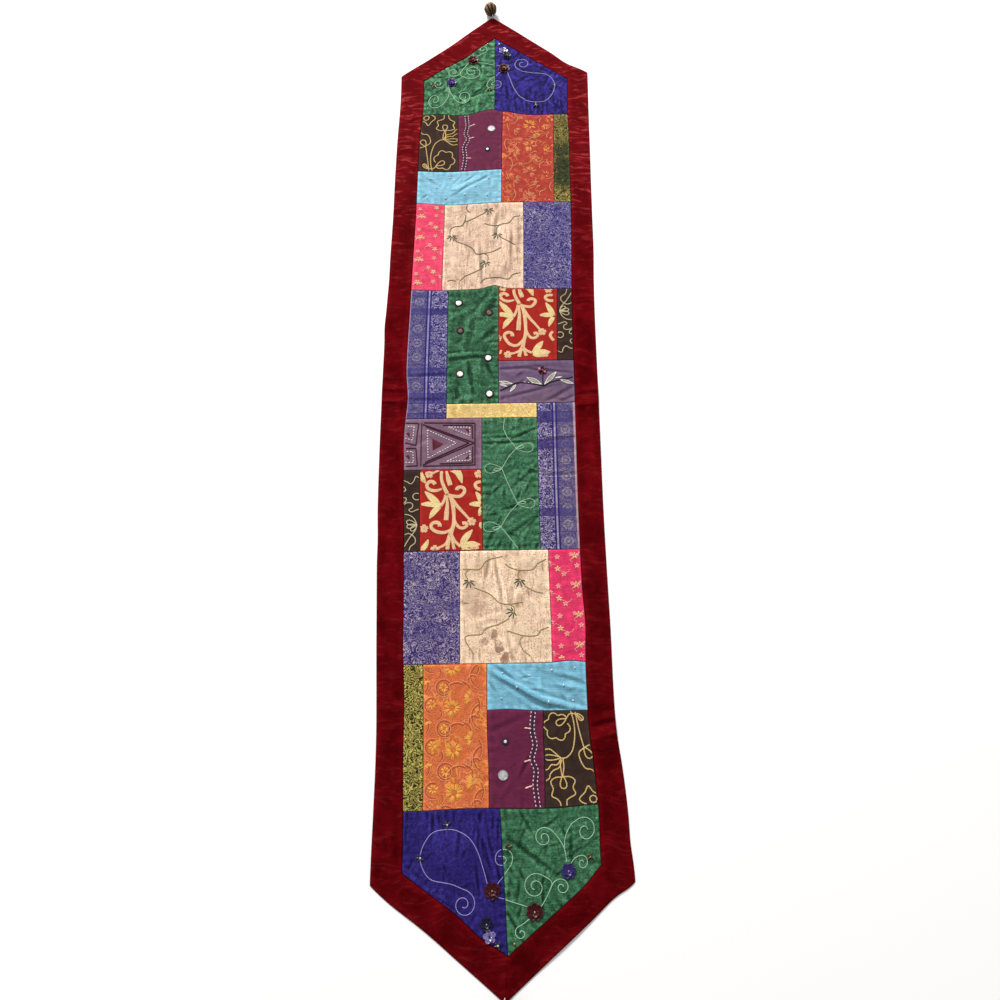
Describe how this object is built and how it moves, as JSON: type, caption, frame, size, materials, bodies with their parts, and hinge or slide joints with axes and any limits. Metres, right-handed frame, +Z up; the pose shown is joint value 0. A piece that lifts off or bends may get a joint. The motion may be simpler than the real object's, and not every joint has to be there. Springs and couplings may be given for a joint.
{
  "type": "patchwork table runner",
  "caption": "Long pointed table runner of embroidered silk and brocade patchwork in a mitred velvet border, with a bead at each point, laid flat.",
  "frame": {"origin": "bottom centre of the runner's box, on the surface it lies on", "axes": "+Y along the runner towards its far point, +X to the east side seen from above, +Z up from the face"},
  "size_m": [0.3914, 1.8799, 0.0269],
  "materials": {
    "velvet": "deep red cotton velvet, short pile with crushed streaks",
    "green_silk": "dupion silk, satin sheen with slubs and puckers",
    "violet_silk": "blue-violet silk, satin sheen",
    "brown_cloth": "matt dark brown cotton-silk",
    "plum_silk": "plum silk, soft sheen",
    "turquoise_silk": "turquoise silk, satin sheen",
    "orange_brocade": "terracotta silk woven with golden daisies and curls",
    "olive_brocade": "dark olive silk woven with yellow-green scrolls",
    "pink_silk": "crimson-pink silk with small woven sprigs",
    "cream_silk": "crushed natural silk with brownish streaks",
    "lavender_brocade": "blue-violet silk covered in fine lilac scrolls",
    "stripe_brocade": "blue-violet border brocade with scroll and rosette bands",
    "red_crewel": "brick red cotton under cream chain-stitch scrolls",
    "mauve_cloth": "mauve cotton-silk, matt",
    "yellow_brocade": "golden yellow tissue brocade",
    "carved_bead": "antiqued gold bead with dark grooves",
    "bead_thread": "pale twisted cotton thread",
    "embroidery": "cream and gold embroidery cotton",
    "mirror_disc": "small round mirror glass",
    "sequins": "glossy sequins and seed beads"
  },
  "bodies": {
    "root": {"far_brown_flowers": "brown_cloth", "far_plum": "plum_silk", "far_turquoise": "turquoise_silk", "far_orange": "orange_brocade", "far_olive": "olive_brocade", "far_pink": "pink_silk", "far_cream": "cream_silk", "far_lavender": "lavender_brocade", "far_stripe": "stripe_brocade", "far_green_mirrors": "green_silk", "far_crewel": "red_crewel", "far_squiggle": "brown_cloth", "mauve_twig": "mauve_cloth", "yellow_strip": "yellow_brocade", "mauve_triangles": "mauve_cloth", "near_squiggle": "brown_cloth", "near_crewel": "red_crewel", "near_green_vine": "green_silk", "near_stripe": "stripe_brocade", "near_lavender": "lavender_brocade", "near_cream": "cream_silk", "near_pink": "pink_silk", "near_olive": "olive_brocade", "near_orange": "orange_brocade", "near_turquoise": "turquoise_silk", "near_plum": "plum_silk", "near_brown_flowers": "brown_cloth", "far_green_point": "green_silk", "far_violet_point": "violet_silk", "near_violet_point": "violet_silk", "near_green_point": "green_silk", "border_west": "velvet", "border_east": "velvet", "border_far_west": "velvet", "border_far_east": "velvet", "border_near_west": "velvet", "border_near_east": "velvet", "far_bead": "carved_bead", "far_bead_thread": "bead_thread", "near_bead": "carved_bead", "near_bead_thread": "bead_thread"}
  },
  "joints": []
}
